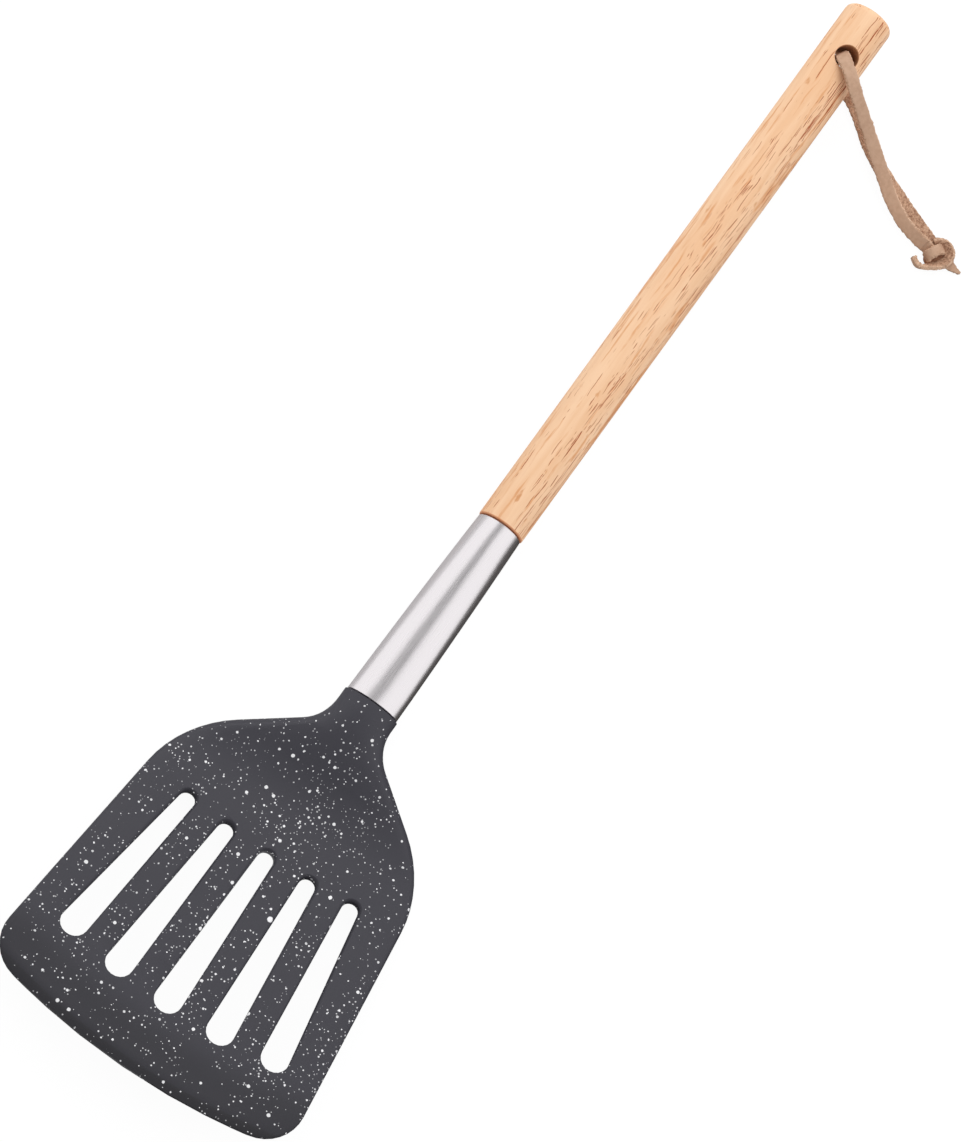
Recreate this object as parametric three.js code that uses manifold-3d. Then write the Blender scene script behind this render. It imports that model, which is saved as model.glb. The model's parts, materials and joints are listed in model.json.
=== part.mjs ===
// A slotted turner: a silicone head moulded over a stiff core, a swaged steel ferrule,
// a turned wooden grip and a leather hanging thong.
// Millimetres, +Z up. The turner lies face up on a worktop, with the blade towards -X.
import * as THREE from 'three';
import { mergeVertices } from 'three/addons/utils/BufferGeometryUtils.js';
import Module from 'manifold-3d';

const wasm = await Module();
wasm.setup();
const degree = Math.PI / 180;

// Fits
const seatGap = 0.3; // between pieces that meet
const skinWall = 0.8; // silicone over the core

// Grip
const gripLength = 192.6; // from the ferrule to the end
const gripDiameter = 15; // at the ferrule
const gripEndDiameter = 15.5;
const gripEndRound = 2.3;
const gripLipRound = 0.5; // eased edge beside the ferrule
const tenonLength = 20;
const tenonGrooveCount = 3;
const tenonGrooveWidth = 1.8;
const tenonGrooveDepth = 0.5;
const tenonChamfer = 0.8;
const hangHoleDiameter = 7.2;
const hangHoleInset = 17; // from the end of the grip
const hangHoleEase = 0.5; // rounding of its rims
const hangHoleTurn = 11.5 * degree; // round the grip, from the blade's face

// Ferrule
const ferruleLength = 65;
const ferruleWall = 0.8;
const ferruleRoundDiameter = 14.4; // at the grip
const ferruleOvalWidth = 17.25; // at the head
const ferruleOvalDepth = 10.3;
const ferruleFlareEase = 0.5; // how early the flare opens
const ferruleRimRound = 0.25;

// Head, seen in plan
const neckWidth = 18.2;
const neckDepth = 11;
const neckRound = 13; // concave, from the neck into the flare
const flareAngle = 53.4 * degree;
const shoulderWidth = 84.4; // where the flare and the side lines meet
const shoulderDistance = 34.45; // from the ferrule
const shoulderRound = 36.5;
const sideTaper = 5.85 * degree;
const headLength = 131.65;
const frontRadius = 196;
const cornerRound = 12.5;
const headYaw = 1.42 * degree; // the head is set a little askew on the ferrule
const yawLength = 12; // of the neck, over which it turns

// Head, seen from the side
const bladeAngle = 10.5 * degree; // from the grip's axis
const bladeThickness = 3.2;
const heelDistance = 40; // where the flat blade starts
const heelDrop = 1.7; // of the blade's middle there, below the grip's axis
const heelReach = 18; // how softly the bend runs out into the blade
const neckBlend = 42; // length over which the oval neck thins to the blade
const edgeRound = 1.4;
const edgeFall = 0.4; // of the upper face, towards its edges
const edgeFallWidth = 4;
const ovalEdge = 40 * degree; // turn of the neck's oval that becomes the blade's edge
const frontThinning = 1.1; // of the upper face, ahead of the slots
const bevelWidth = 2.6;
const lipThickness = 1.0;

// Slots, in a fan
const slotCount = 5;
const slotFanAngle = 3.515 * degree; // from slot to slot
const slotFanRadius = 230; // from the fan's centre to the narrow ends
const slotStart = 55.7; // narrow end's centre, from the ferrule
const slotNarrowWidth = 5.1;
const slotWideWidth = 8.5;
const slotFrontLand = 19.6; // from the wide ends to the front edge
const slotTopEase = 1.1; // rounding of the rims
const slotUnderEase = 0.7;

// Core
const coreSetback = 14; // from the front edge, which is left soft
const spigotLength = 30; // into the ferrule
const spigotRibCount = 5;
const spigotRibDepth = 0.6;
const spigotRibLand = 0.55; // share of the pitch at full size
const cavityMouth = 1; // how far the skin's hollow runs out past the neck

// Thong: a leather strip pulled through the hang hole and knotted. Its points are measured from
// the worktop below the hole; each has a place and the lean of the strip, in degrees.
const stripWidth = 4.2;
const stripThickness = 1.4;
const stripEase = 0.35; // of the cut edges
const thongHeading = 240 * degree; // round the hole, from the grip's end
const frontStrand = [
  [0.3, 0.9, 11.0, 0], [0.3, 0.8, 13.6, 0], [0.0, 0.3, 16.5, 0], [-1.4, -1.2, 18.9, -6],
  [-3.3, -3.7, 19.6, -10], [-5.4, -6.7, 19.1, -11], [-7.7, -10.2, 17.1, -9], [-10.6, -15.7, 12.9, -4],
  [-13.4, -21.2, 8.8, 0], [-16.2, -26.2, 5.9, 6], [-19.5, -31.4, 4.1, 12], [-23.0, -36.6, 3.3, 20],
  [-26.0, -42.5, 3.0, 28], [-27.6, -48.3, 2.9, 36], [-28.2, -52.15, 3.0, 40],
];
const backStrand = [
  [0.3, 0.9, 10.7, 0], [0.2, 0.9, 6.6, 0], [0.1, 0.8, 3.4, 0], [-0.3, -0.4, 1.4, 0],
  [-1.2, -3.0, 0.85, 0], [-3.0, -7.6, 0.8, 0], [-5.3, -12.0, 0.8, 0], [-8.4, -16.3, 0.8, 0],
  [-12.0, -21.0, 0.8, 0], [-15.0, -26.0, 0.8, 0], [-17.5, -31.3, 0.8, 0], [-20.0, -37.6, 0.8, 0],
  [-22.2, -43.1, 0.85, 0], [-23.8, -47.6, 0.95, 0], [-25.7, -52.8, 1.0, 0],
];
const knotBandWidth = 3.5;
const knotBand = [
  [-32.5, -53.5, 1.6, 0], [-31.1, -53.4, 3.4, 0], [-29.3, -54.1, 4.4, 0], [-27.5, -55.0, 4.6, 0],
  [-25.5, -56.0, 4.0, 0], [-23.9, -56.8, 2.6, 0],
];
const knotCup = [
  [-24.6, -54.3, 2.6, 0], [-23.4, -56.1, 2.5, 0], [-23.4, -58.5, 2.4, 0], [-24.8, -60.0, 2.4, 0],
  [-27.2, -60.4, 2.4, 0], [-29.6, -59.3, 2.4, 0], [-31.6, -57.4, 2.4, 0], [-33.5, -55.4, 2.3, 0],
  [-34.3, -53.4, 2.3, 0], [-33.8, -51.8, 2.3, 0], [-32.7, -50.7, 2.3, 0],
];
const knotTail = [
  [-27.6, -58.7, 1.9, 0], [-27.9, -61.6, 1.5, 0], [-28.0, -64.6, 1.1, 0],
];
const knotHeart = { place: [-28.8, -56.5, 1.9], halves: [3.6, 2.7, 1.5] }; // strip folded inside

// Worked-out places
const headRadii = { side: neckWidth / 2, face: neckDepth / 2 };
const bladeHalf = bladeThickness / 2;
const gripStart = ferruleLength + seatGap;
const gripEnd = gripStart + gripLength;
const hangHoleX = gripEnd - hangHoleInset;
const slotFan = slotStart - slotFanRadius; // the fan's centre, on the axis behind the head
const frontCentre = headLength - frontRadius;

// Mesh fineness
const roundSegments = 40;
const ovalSegments = 36;
const spigotSegments = 24;
const skinSteps = { arc: 8, side: 3, edge: 4, face: 8 };
const coreSteps = { arc: 5, side: 2, edge: 2, face: 6 };
const faceCrowding = 1.7; // of the steps across a face, towards its edges
const slotArcSteps = 5;
const rimTurns = [0, 35 * degree, 70 * degree]; // of a slot's eased rims
const ferruleStations = 12;
const lipSteps = 3;
const endSteps = 6;
const stripSteps = 2; // from point to point
const heartSegments = 12;
const restSamples = 60;

// General geometry

const mix = (from, to, share) => from + (to - from) * share;
const clamp01 = (value) => Math.min(Math.max(value, 0), 1);
const smooth = (value) => clamp01(value) ** 2 * (3 - 2 * clamp01(value));

function signedVolume(points, triangles) {
  const cross = new THREE.Vector3();
  let volume = 0;
  for (const [a, b, c] of triangles) {
    volume += points[a].dot(cross.crossVectors(points[b], points[c])) / 6;
  }
  return volume;
}

function meshFrom(points, triangles) {
  const facing = signedVolume(points, triangles) < 0 ? triangles.map(([a, b, c]) => [a, c, b]) : triangles;
  const geometry = new THREE.BufferGeometry().setFromPoints(points);
  geometry.setIndex(facing.flat());
  return geometry;
}

// Bands of quads between each ring and the next
function ringBands(rings, closed) {
  const count = rings[0].length;
  const bandCount = closed ? rings.length : rings.length - 1;
  const triangles = [];
  for (let band = 0; band < bandCount; band += 1) {
    const here = band * count;
    const there = ((band + 1) % rings.length) * count;
    for (let step = 0; step < count; step += 1) {
      const next = (step + 1) % count;
      triangles.push([here + step, here + next, there + next], [here + step, there + next, there + step]);
    }
  }
  return triangles;
}

// A loft through rings, closed at both ends by zipping the two halves of the end rings together
function loft(rings) {
  const count = rings[0].length;
  const triangles = ringBands(rings, false);
  const last = (rings.length - 1) * count;
  for (let step = 0; step < count / 2; step += 1) {
    const far = count - step;
    const corners = [step, step + 1, far - 1, far % count];
    for (const [first, second, third] of [[0, 1, 2], [0, 2, 3]]) {
      const cap = [corners[first], corners[second], corners[third]];
      if (new Set(cap).size === 3) {
        triangles.push([cap[2], cap[1], cap[0]], cap.map((index) => last + index));
      }
    }
  }
  return meshFrom(rings.flat(), triangles);
}

// A tube: rings along the outside and back along the inside
const tube = (outer, inner) => {
  const rings = [...outer, ...[...inner].reverse()];
  return meshFrom(rings.flat(), ringBands(rings, true));
};

function ovalRing(x, halfWidth, halfDepth, count) {
  const ring = [];
  for (let step = 0; step < count; step += 1) {
    const angle = (step / count) * 2 * Math.PI;
    ring.push(new THREE.Vector3(x, halfWidth * Math.cos(angle), halfDepth * Math.sin(angle)));
  }
  return ring;
}

function solid(geometry) {
  const bare = geometry.clone();
  bare.deleteAttribute('normal');
  bare.deleteAttribute('uv');
  const merged = mergeVertices(bare, 1e-5);
  const index = merged.index.array;
  const triangles = [];
  for (let start = 0; start < index.length; start += 3) {
    const corners = [index[start], index[start + 1], index[start + 2]];
    if (new Set(corners).size === 3) {
      triangles.push(...corners);
    }
  }
  return new wasm.Manifold(new wasm.Mesh({
    numProp: 3,
    vertProperties: Float32Array.from(merged.attributes.position.array),
    triVerts: Uint32Array.from(triangles),
  }));
}

function geometryOf(body) {
  const mesh = body.getMesh();
  const geometry = new THREE.BufferGeometry();
  geometry.setAttribute('position', new THREE.BufferAttribute(mesh.vertProperties, 3));
  geometry.setIndex(new THREE.BufferAttribute(mesh.triVerts, 1));
  return geometry;
}

const cutAll = (body, cutters) => cutters.reduce((left, cutter) => left.subtract(cutter), body);

// Head: centre line, plan outline and lofted body

const heel = new THREE.Vector3(-heelDistance, 0, -heelDrop);
const bladeDirection = new THREE.Vector3(-Math.cos(bladeAngle), 0, Math.sin(bladeAngle));
const neckBend = new THREE.CubicBezierCurve3(
  new THREE.Vector3(),
  new THREE.Vector3(-heelDistance / 3, 0, 0),
  heel.clone().addScaledVector(bladeDirection, -heelReach),
  heel,
);
const bendLength = neckBend.getLength();
const upright = new THREE.Vector3(0, 0, 1);

// A point of the head: its distance along the centre line, its offset sideways and its height
function headPoint(along, aside, height) {
  const point = new THREE.Vector3();
  const direction = new THREE.Vector3(-1, 0, 0);
  if (along < 0) {
    point.set(-along, 0, 0);
  } else if (along < bendLength) {
    neckBend.getPointAt(along / bendLength, point);
    neckBend.getTangentAt(along / bendLength, direction);
  } else {
    direction.copy(bladeDirection);
    point.copy(heel).addScaledVector(direction, along - bendLength);
  }
  point.y += aside;
  point.x += height * direction.z;
  point.z -= height * direction.x;
  return point.applyAxisAngle(upright, headYaw * smooth(along / yawLength));
}

const heading = (angle) => new THREE.Vector2(Math.cos(angle), Math.sin(angle));
const outward = (angle) => new THREE.Vector2(-Math.sin(angle), Math.cos(angle));

function insetLine(along, aside, angle, inset) {
  return { angle, point: new THREE.Vector2(along, aside).addScaledVector(outward(angle), -inset) };
}

function meet(first, second) {
  const across = heading(first.angle).cross(heading(second.angle));
  const reach = second.point.clone().sub(first.point).cross(heading(second.angle)) / across;
  return first.point.clone().addScaledVector(heading(first.angle), reach);
}

function arcPoints(centre, radius, fromAngle, toAngle, steps) {
  const side = toAngle > fromAngle ? -1 : 1; // concave arcs lie on the inner side of their centre
  const points = [];
  for (let step = 0; step <= steps; step += 1) {
    const angle = mix(fromAngle, toAngle, step / steps);
    points.push(centre.clone().addScaledVector(outward(angle), side * radius));
  }
  return points;
}

function roundedCorner(first, second, radius, steps) {
  const turn = second.angle - first.angle;
  const reach = radius * Math.tan(Math.abs(turn) / 2);
  const start = meet(first, second).addScaledVector(heading(first.angle), -reach);
  const centre = start.addScaledVector(outward(first.angle), Math.sign(turn) * radius);
  return arcPoints(centre, radius, first.angle, second.angle, steps);
}

function straightBetween(from, to, steps) {
  const points = [];
  for (let step = 1; step < steps; step += 1) {
    points.push(from.clone().lerp(to, step / steps));
  }
  return points;
}

// Half of the plan outline, from the ferrule to where the front corner meets the front edge
function halfOutline(inset, setback, steps) {
  const neck = insetLine(0, headRadii.side, 0, inset);
  const flare = insetLine(shoulderDistance, shoulderWidth / 2, flareAngle, inset);
  const side = insetLine(shoulderDistance, shoulderWidth / 2, sideTaper, inset);
  const radius = cornerRound - inset;
  const front = frontRadius - setback;
  const track = side.point.clone().addScaledVector(outward(sideTaper), -radius);
  track.x -= frontCentre;
  const along = track.dot(heading(sideTaper));
  const reach = -along + Math.sqrt(along ** 2 - track.lengthSq() + (front - radius) ** 2);
  track.addScaledVector(heading(sideTaper), reach);
  const cornerEnd = Math.atan2(-track.x, track.y);
  const corner = track.clone().add(new THREE.Vector2(frontCentre, 0));
  const neckArc = roundedCorner(neck, flare, neckRound + inset, steps.arc);
  const shoulderArc = roundedCorner(flare, side, shoulderRound - inset, steps.arc);
  const cornerArc = arcPoints(corner, radius, sideTaper, cornerEnd, steps.arc);
  const points = [
    neck.point,
    ...neckArc,
    ...shoulderArc,
    ...straightBetween(shoulderArc.at(-1), cornerArc[0], steps.side),
    ...cornerArc,
  ];
  return { points, corner, radius, cornerEnd, front, setback };
}

// How far a row of the head falls back towards its ends, to run parallel with the front edge
const rowShare = (along) => smooth((along - shoulderDistance) / (headLength - slotFrontLand - shoulderDistance));
const rowSag = (aside, front) => front - Math.sqrt(front ** 2 - aside ** 2);

// Height of the upper face: level, then thinning ahead of the slots, then bevelled to the lip.
// What is set back from the front edge has no bevel.
function upperFace(outline, row, along, aside) {
  const thinStart = headLength - slotFrontLand - slotWideWidth;
  const thinned = bladeHalf - frontThinning * smooth((row - thinStart) / (headLength - thinStart));
  const fromCorner = new THREE.Vector2(along, Math.abs(aside)).sub(outline.corner);
  const angle = Math.atan2(-fromCorner.x, fromCorner.y);
  const inCorner = angle > outline.cornerEnd && angle < sideTaper && fromCorner.x > 0;
  const fromEdge = inCorner ? outline.radius - fromCorner.length() : frontCentre + outline.front - row;
  const share = inCorner ? smooth((angle - sideTaper) / (outline.cornerEnd - sideTaper)) : 1;
  const bevelled = -bladeHalf + lipThickness
    + (bladeThickness - frontThinning - lipThickness) * Math.max(fromEdge, 0) / bevelWidth;
  const bevels = along > outline.corner.x && outline.setback === 0;
  return bevels ? mix(thinned, Math.min(thinned, bevelled), share) : thinned;
}

// One ring across the head: an oval at the neck that turns into a flat blade with round edges
function headRing(outline, edge, inset, steps) {
  const blend = smooth(edge.x / neckBlend);
  const share = rowShare(edge.x);
  const row = edge.x + share * rowSag(edge.y, outline.front);
  const round = Math.max(edgeRound - inset, seatGap);
  const last = 2 * steps.edge + steps.face;
  const ring = [];
  for (let step = 0; step < 2 * last; step += 1) {
    const under = step > last;
    const place = under ? 2 * last - step : step;
    const fromEdge = Math.min(place, last - place);
    const hand = place * 2 <= last ? 1 : -1;
    const turn = (Math.min(fromEdge, steps.edge) / steps.edge) * (Math.PI / 2);
    const inner = (Math.max(fromEdge - steps.edge, 0) / (steps.face / 2)) ** faceCrowding;
    const flatAside = hand * (edge.y - round + round * Math.cos(turn)) * (1 - inner);
    const ovalTurn = fromEdge <= steps.edge
      ? ovalEdge * (fromEdge / steps.edge)
      : mix(ovalEdge, Math.PI / 2, inner);
    const aside = mix(hand * edge.y * Math.cos(ovalTurn), flatAside, blend);
    const along = row - share * rowSag(aside, outline.front);
    const fall = edgeFall * (1 - smooth((edge.y - Math.abs(aside)) / edgeFallWidth));
    const upper = upperFace(outline, row, along, aside) - fall - inset;
    const lower = -bladeHalf + inset;
    const middle = (upper + lower) / 2;
    const flatHeight = mix(middle, under ? lower : upper, Math.sin(turn));
    const ovalHeight = (under ? -1 : 1) * (headRadii.face - inset) * Math.sin(ovalTurn);
    ring.push(headPoint(along, aside, mix(ovalHeight, flatHeight, blend)));
  }
  return ring;
}

function headBody(inset, setback, start, steps) {
  const outline = halfOutline(inset, setback, steps);
  outline.points[0].x = start;
  return solid(loft(outline.points.map((edge) => headRing(outline, edge, inset, steps))));
}

// Slots: tapered capsules with eased rims

function slotRing(narrow, wide, grow, height) {
  const run = wide.clone().sub(narrow);
  const slope = Math.asin((slotWideWidth - slotNarrowWidth) / 2 / run.length());
  const facing = run.angle();
  const side = [];
  for (let step = 0; step <= slotArcSteps; step += 1) {
    const turn = mix(Math.PI, Math.PI / 2 + slope, step / slotArcSteps);
    side.push([narrow, slotNarrowWidth / 2 + grow, turn]);
  }
  for (let step = 0; step <= slotArcSteps; step += 1) {
    const turn = mix(Math.PI / 2 + slope, 0, step / slotArcSteps);
    side.push([wide, slotWideWidth / 2 + grow, turn]);
  }
  const back = side.slice(1, -1).reverse().map(([centre, radius, turn]) => [centre, radius, -turn]);
  return [...side, ...back].map(([centre, radius, turn]) => {
    const place = centre.clone().addScaledVector(heading(facing + turn), radius);
    return headPoint(place.x, place.y, height);
  });
}

// Levels of a slot cutter: below the blade, its eased lower rim, its eased upper rim and above
function easedLevels(ease, sign) {
  const levels = rimTurns.map((turn) => ({
    height: sign * (bladeHalf - ease + ease * Math.sin(turn)),
    grow: ease * (1 - Math.cos(turn)),
  }));
  const top = levels.at(-1);
  const rise = bladeHalf + ease / 2 - Math.abs(top.height);
  levels.push({ height: top.height + sign * rise, grow: top.grow + rise * Math.tan(rimTurns.at(-1)) });
  return levels;
}

const easedSlot = [...easedLevels(slotUnderEase, -1).reverse(), ...easedLevels(slotTopEase, 1)];
const plainSlot = (grow) => [-bladeThickness, bladeThickness].map((height) => ({ height, grow }));

function slotCutters(levels) {
  const cutters = [];
  for (let slot = 0; slot < slotCount; slot += 1) {
    const angle = (slot - (slotCount - 1) / 2) * slotFanAngle;
    const ray = heading(angle);
    const fan = new THREE.Vector2(slotFan, 0);
    const narrow = fan.clone().addScaledVector(ray, slotFanRadius);
    const fromFront = fan.clone().sub(new THREE.Vector2(frontCentre, 0));
    const along = fromFront.dot(ray);
    const frontReach = frontRadius - slotFrontLand - slotWideWidth / 2;
    const reach = -along + Math.sqrt(along ** 2 - fromFront.lengthSq() + frontReach ** 2);
    const wide = fan.clone().addScaledVector(ray, reach);
    cutters.push(solid(loft(levels.map(({ height, grow }) => slotRing(narrow, wide, grow, height)))));
  }
  return cutters;
}

function siliconeHead() {
  const cavity = headBody(skinWall, coreSetback - seatGap, -cavityMouth, coreSteps);
  const hollow = cutAll(cavity, slotCutters(plainSlot(skinWall)));
  const skin = cutAll(headBody(0, 0, 0, skinSteps), slotCutters(easedSlot));
  return geometryOf(skin.subtract(hollow));
}

// Ferrule: a drawn tube, round at the grip and flattened at the head

function ferruleRing(x, inset, segments = ovalSegments) {
  const share = 1 - x / ferruleLength;
  const flare = share * (1 + ferruleFlareEase * (1 - share));
  const halfWidth = mix(ferruleRoundDiameter, ferruleOvalWidth, flare) / 2 - inset;
  const halfDepth = mix(ferruleRoundDiameter, ferruleOvalDepth, flare) / 2 - inset;
  return { halfWidth, halfDepth, ring: ovalRing(x, halfWidth, halfDepth, segments) };
}

function ferruleTube() {
  const places = [];
  for (let step = 0; step <= ferruleStations; step += 1) {
    places.push(mix(seatGap + ferruleRimRound, ferruleLength - ferruleRimRound, step / ferruleStations));
  }
  const outer = [
    ferruleRing(seatGap, ferruleRimRound).ring,
    ...places.map((x) => ferruleRing(x, 0).ring),
    ferruleRing(ferruleLength, ferruleRimRound).ring,
  ];
  const inner = [seatGap, ...places.slice(1, -1), ferruleLength].map((x) => ferruleRing(x, ferruleWall).ring);
  return tube(outer, inner);
}

// Core: the stiff blade inside the skin, with a ribbed spigot for the ferrule

function spigot() {
  const root = ferruleRing(0, ferruleWall + seatGap + spigotRibDepth, spigotSegments);
  const rings = [root.ring.map((point) => point.setX(-seatGap))];
  const pitch = (spigotLength - seatGap) / spigotRibCount;
  for (let rib = 0; rib < spigotRibCount; rib += 1) {
    const start = seatGap + rib * pitch;
    const slope = (1 - spigotRibLand) * pitch / 4;
    const rise = start + (1 - spigotRibLand) * pitch / 2;
    const full = ferruleWall + seatGap;
    const stations = [
      [rise - slope, full + spigotRibDepth],
      [rise, full],
      [rise + spigotRibLand * pitch, full],
      [rise + spigotRibLand * pitch + slope, full + spigotRibDepth],
    ];
    for (const [x, inset] of stations) {
      rings.push(ferruleRing(x, inset, spigotSegments).ring);
    }
  }
  return solid(loft(rings));
}

function headCore() {
  const inset = skinWall + seatGap;
  const blade = cutAll(headBody(inset, coreSetback, 0, coreSteps), slotCutters(plainSlot(inset)));
  return geometryOf(blade.add(spigot()));
}

// Grip: turned, with a tapered and grooved tenon

const gripRadiusAt = (x) => mix(gripDiameter, gripEndDiameter, (x - gripStart) / gripLength) / 2;

// The tenon follows the shallower way across the ferrule's bore
const tenonRadiusAt = (x) => {
  const bore = ferruleRing(x, ferruleWall + seatGap);
  return Math.min(bore.halfWidth, bore.halfDepth);
};

function gripProfile() {
  const tip = gripStart - tenonLength;
  const pitch = tenonLength / (tenonGrooveCount + 1);
  const points = [[0, tip], [tenonRadiusAt(tip) - tenonChamfer, tip], [tenonRadiusAt(tip), tip + tenonChamfer]];
  for (let groove = 1; groove <= tenonGrooveCount; groove += 1) {
    const start = tip + groove * pitch - tenonGrooveWidth / 2;
    const end = start + tenonGrooveWidth;
    const slope = tenonGrooveDepth / 2;
    points.push([tenonRadiusAt(start), start]);
    points.push([tenonRadiusAt(end) - tenonGrooveDepth, start + slope]);
    points.push([tenonRadiusAt(end) - tenonGrooveDepth, end - slope]);
    points.push([tenonRadiusAt(end), end]);
  }
  points.push([tenonRadiusAt(ferruleLength), gripStart]);
  for (let step = 0; step <= lipSteps; step += 1) {
    const turn = (step / lipSteps) * (Math.PI / 2);
    points.push([
      gripDiameter / 2 - gripLipRound * (1 - Math.sin(turn)),
      gripStart + gripLipRound * (1 - Math.cos(turn)),
    ]);
  }
  for (let step = 0; step <= endSteps; step += 1) {
    const turn = (step / endSteps) * (Math.PI / 2);
    points.push([
      gripEndDiameter / 2 - gripEndRound * (1 - Math.cos(turn)),
      gripEnd - gripEndRound * (1 - Math.sin(turn)),
    ]);
  }
  points.push([0, gripEnd]);
  return points.map(([radius, x]) => new THREE.Vector2(radius, x));
}

// The hang hole, with its rims eased along the round of the grip
function hangHole() {
  const radius = hangHoleDiameter / 2;
  const grip = gripRadiusAt(hangHoleX);
  const ring = (sign, grow, heightAt) => {
    const points = [];
    for (let step = 0; step < ovalSegments; step += 1) {
      const angle = (step / ovalSegments) * 2 * Math.PI;
      const along = (radius + grow) * Math.cos(angle);
      const aside = (radius + grow) * Math.sin(angle);
      points.push(new THREE.Vector3(hangHoleX + along, aside, sign * heightAt(aside)));
    }
    return points;
  };
  const saddle = (rise) => (aside) => Math.sqrt(grip ** 2 - aside ** 2) + rise;
  const rims = [
    [2 * hangHoleEase, () => grip + hangHoleEase],
    [2 * hangHoleEase, saddle(hangHoleEase)],
    [hangHoleEase / 4, saddle(-hangHoleEase / 4)],
    [0, saddle(-hangHoleEase)],
  ];
  const rings = [
    ...rims.map(([grow, heightAt]) => ring(-1, grow, heightAt)),
    ...[...rims].reverse().map(([grow, heightAt]) => ring(1, grow, heightAt)),
  ];
  const cutter = loft(rings);
  cutter.rotateX(hangHoleTurn);
  return solid(cutter);
}

function grip() {
  const turned = new THREE.LatheGeometry(gripProfile(), roundSegments);
  turned.rotateZ(-Math.PI / 2);
  return geometryOf(solid(turned).subtract(hangHole()));
}

// Thong: strips swept through their points, with the cut edges eased

function stripSection(width, thickness) {
  const side = width / 2;
  const face = thickness / 2;
  const corners = [[1, 1], [-1, 1], [-1, -1], [1, -1]];
  return corners.flatMap(([right, up], corner) => {
    const beside = [right * side, up * (face - stripEase)];
    const above = [right * (side - stripEase), up * face];
    return corner % 2 === 0 ? [beside, above] : [above, beside];
  });
}

// Lies across its run as near to the given direction as it can, and leans from there
function strip(route, crosswise, width, thickness) {
  const curve = new THREE.CatmullRomCurve3(route.map(([x, y, z]) => new THREE.Vector3(x, y, z)));
  const section = stripSection(width, thickness);
  const spans = route.length - 1;
  const rings = [];
  for (let step = 0; step <= spans * stripSteps; step += 1) {
    const share = step / (spans * stripSteps);
    const place = curve.getPoint(share);
    const along = curve.getTangent(share);
    const span = Math.min(Math.floor(share * spans), spans - 1);
    const lean = mix(route[span][3], route[span + 1][3], share * spans - span) * degree;
    const across = crosswise.clone().projectOnPlane(along).normalize().applyAxisAngle(along, lean);
    const above = new THREE.Vector3().crossVectors(along, across);
    rings.push(section.map(([right, up]) => place.clone().addScaledVector(across, right).addScaledVector(above, up)));
  }
  return loft(rings);
}

const thongAlong = new THREE.Vector3(Math.cos(thongHeading), Math.sin(thongHeading), 0);
const thongAcross = new THREE.Vector3(-thongAlong.y, thongAlong.x, 0);

function thongKnot() {
  const heart = new THREE.SphereGeometry(1, heartSegments, heartSegments / 2);
  heart.scale(...knotHeart.halves);
  heart.rotateZ(thongHeading + Math.PI / 2);
  heart.translate(...knotHeart.place);
  const band = strip(knotBand, thongAlong, knotBandWidth, stripThickness);
  const cup = strip(knotCup, upright, stripWidth, stripThickness);
  const tail = strip(knotTail, thongAcross, stripWidth, stripThickness);
  return geometryOf([band, cup, tail].reduce((whole, part) => whole.add(solid(part)), solid(heart)));
}

// Assembly

function finish(colour, roughness, metalness) {
  return new THREE.MeshStandardMaterial({ color: colour, roughness, metalness });
}

function piece(name, geometry, material) {
  const mesh = new THREE.Mesh(geometry, material);
  mesh.name = name;
  return mesh;
}

const turner = new THREE.Group();
turner.add(
  piece('silicone_head', siliconeHead(), finish(0x4a494f, 0.62, 0)),
  piece('head_core', headCore(), finish(0x2c2c30, 0.5, 0)),
  piece('ferrule', ferruleTube(), finish(0xd6d2d3, 0.28, 1)),
  piece('grip', grip(), finish(0xf0c49c, 0.6, 0)),
);

// The turner rests on the heel of its blade and on the lip of its grip
function restingAngle() {
  const angles = [];
  for (let step = 0; step <= restSamples; step += 1) {
    const along = (step / restSamples) * headLength;
    const under = headPoint(along, 0, -mix(headRadii.face, bladeHalf, smooth(along / neckBlend)));
    angles.push(Math.atan2(under.z + gripDiameter / 2, gripStart - under.x));
  }
  return Math.min(...angles);
}
turner.rotation.y = -restingAngle();

const lying = new THREE.Group();
lying.add(turner);
lying.updateMatrixWorld(true);
const box = new THREE.Box3().setFromObject(lying, true);
const middle = box.getCenter(new THREE.Vector3());
turner.position.set(-middle.x, -middle.y, -box.min.z);
lying.updateMatrixWorld(true);

const hangHolePlace = turner.localToWorld(new THREE.Vector3(hangHoleX, 0, 0));
const thong = new THREE.Group();
thong.position.set(hangHolePlace.x, hangHolePlace.y, 0);
const leather = () => finish(0xbd997f, 0.75, 0);
thong.add(
  piece('thong_front_strand', strip(frontStrand, thongAcross, stripWidth, stripThickness), leather()),
  piece('thong_back_strand', strip(backStrand, thongAcross, stripWidth, stripThickness), leather()),
  piece('thong_knot', thongKnot(), leather()),
);
lying.add(thong);

export default lying;
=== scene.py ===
import json
import math

import bmesh
import bpy
from mathutils import Matrix, Quaternion, Vector, noise


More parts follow.
